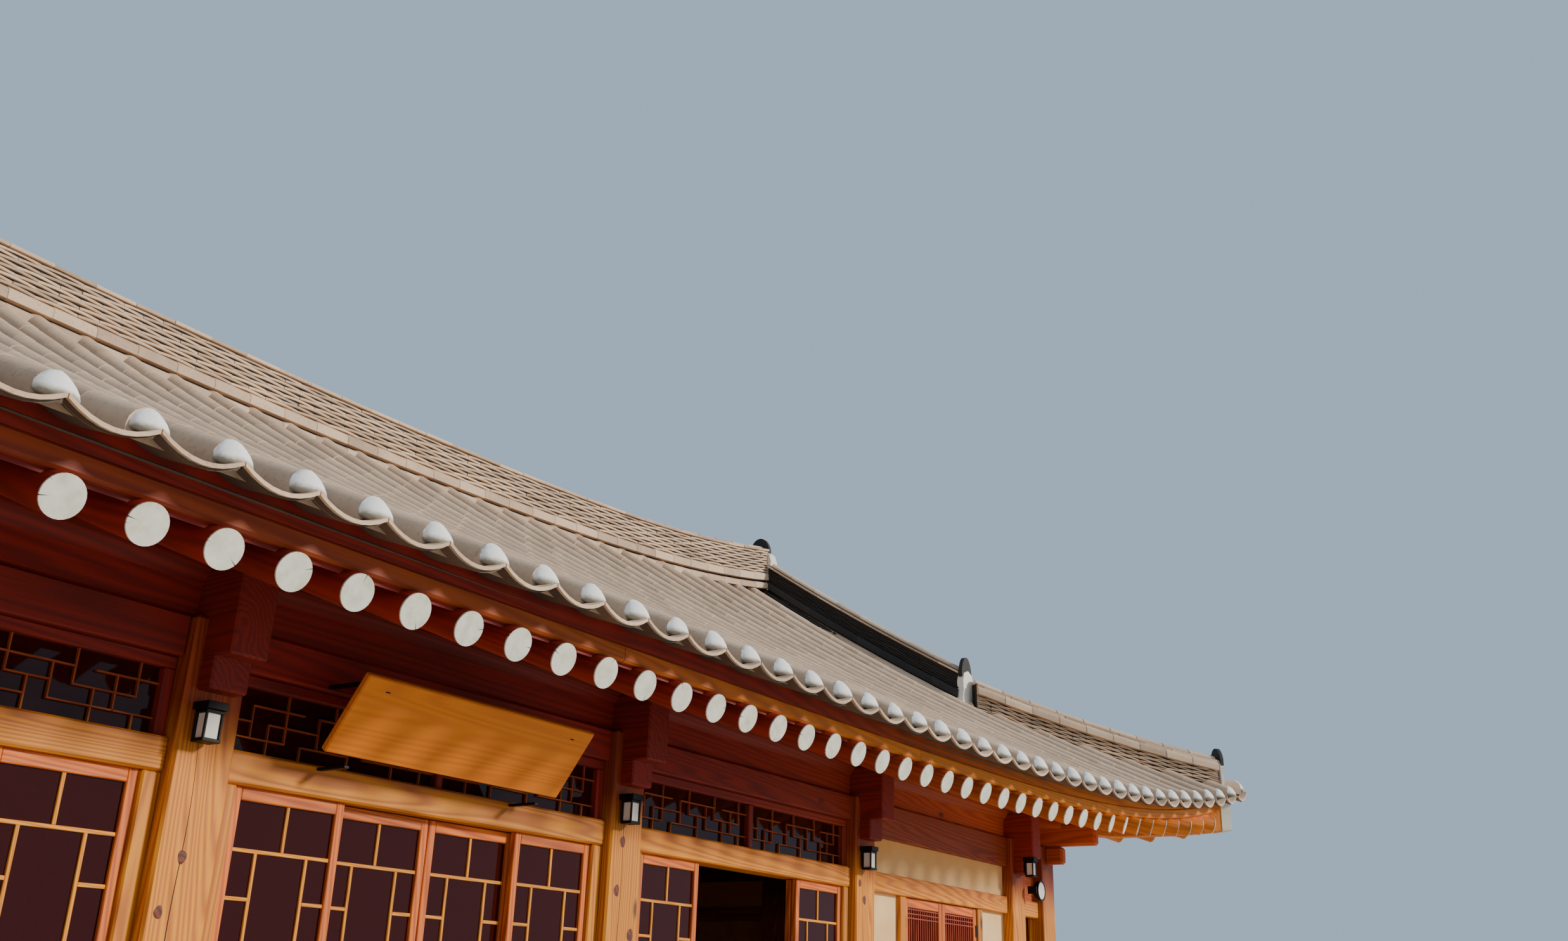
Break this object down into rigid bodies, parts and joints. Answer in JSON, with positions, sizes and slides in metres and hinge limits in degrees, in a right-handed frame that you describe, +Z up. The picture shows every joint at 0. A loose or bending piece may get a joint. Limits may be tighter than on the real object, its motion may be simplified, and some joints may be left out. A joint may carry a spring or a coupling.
{
  "type": "hanok house",
  "caption": "Single-storey timber house with a curved hip-and-gable tiled roof, deep rafter eaves, plaster and shuttered bays, glazed sliding doors and a stone platform.",
  "frame": {"origin": "on the ground below the middle of the ridge, at the middle of the platform underside", "axes": "+X along the front to the right, +Y from the front to the rear, +Z up"},
  "size_m": [19.84, 9.34, 6.508],
  "materials": {
    "roof_tiles": "unglazed warm grey clay, weathered, rows ended by white lime plugs",
    "roof_timber": "oiled reddish pine in shade, round rafters with white-painted ends",
    "gable_boards": "dark oiled boards",
    "platform_stone": "dressed pale granite",
    "floor_timber": "waxed planks",
    "frame_timber": "oiled orange pine, grain and drying cracks",
    "wall_plaster": "matt cream lime plaster between timber rails",
    "shutter_timber": "lattice with vertical bars",
    "door_timber": "dark red lattice leaves with clear glass",
    "board_timber": "bare oiled orange pine board, no lettering, on black iron stays"
  },
  "bodies": {
    "house": {"front_roof_slope": "roof_tiles", "rear_roof_slope": "roof_tiles", "right_roof_slope": "roof_tiles", "left_roof_slope": "roof_tiles", "main_ridge": "roof_tiles", "corner_ridge_front_right": "roof_tiles", "corner_ridge_rear_right": "roof_tiles", "corner_ridge_front_left": "roof_tiles", "corner_ridge_rear_left": "roof_tiles", "front_rafters": "roof_timber", "rear_rafters": "roof_timber", "right_rafters": "roof_timber", "left_rafters": "roof_timber", "hip_rafter_front_right": "roof_timber", "hip_rafter_rear_right": "roof_timber", "hip_rafter_front_left": "roof_timber", "hip_rafter_rear_left": "roof_timber", "right_gable": "gable_boards", "left_gable": "gable_boards", "front_eave_purlin": "roof_timber", "rear_eave_purlin": "roof_timber", "right_eave_purlin": "roof_timber", "left_eave_purlin": "roof_timber", "front_mid_purlin": "roof_timber", "ridge_purlin": "roof_timber", "rear_mid_purlin": "roof_timber", "cross_beam_1": "roof_timber", "cross_beam_2": "roof_timber", "cross_beam_3": "roof_timber", "cross_beam_4": "roof_timber", "cross_beam_5": "roof_timber", "cross_beam_6": "roof_timber", "stone_platform": "platform_stone", "timber_floor": "floor_timber", "front_column_1": "frame_timber", "front_column_2": "frame_timber", "front_column_3": "frame_timber", "front_column_4": "frame_timber", "left_end_bay": "frame_timber", "right_end_bay": "frame_timber", "left_window_bay": "wall_plaster", "right_window_bay": "wall_plaster", "rear_wall": "wall_plaster", "right_wall": "wall_plaster", "left_wall": "wall_plaster", "left_window_shutters": "shutter_timber", "right_window_shutters": "shutter_timber", "glazed_bay": "door_timber", "entrance_head": "door_timber", "entrance_fixed_left": "door_timber", "entrance_fixed_right": "door_timber", "doorway_head": "door_timber", "doorway_fixed_left": "door_timber", "doorway_fixed_right": "door_timber", "name_board": "board_timber"},
    "entrance_leaf_left": {"entrance_leaf_left": "door_timber"},
    "entrance_leaf_right": {"entrance_leaf_right": "door_timber"},
    "doorway_leaf_left": {"doorway_leaf_left": "door_timber"},
    "doorway_leaf_right": {"doorway_leaf_right": "door_timber"}
  },
  "joints": [
    {"name": "entrance_leaf_left_slide", "type": "slide", "parent": "house", "child": "entrance_leaf_left", "axis": [-1, 0, 0], "range_m": [0, 0.6]},
    {"name": "entrance_leaf_right_slide", "type": "slide", "parent": "house", "child": "entrance_leaf_right", "axis": [1, 0, 0], "range_m": [0, 0.6]},
    {"name": "doorway_leaf_left_slide", "type": "slide", "parent": "house", "child": "doorway_leaf_left", "axis": [1, 0, 0], "range_m": [0, 0.6]},
    {"name": "doorway_leaf_right_slide", "type": "slide", "parent": "house", "child": "doorway_leaf_right", "axis": [-1, 0, 0], "range_m": [0, 0.6]}
  ]
}
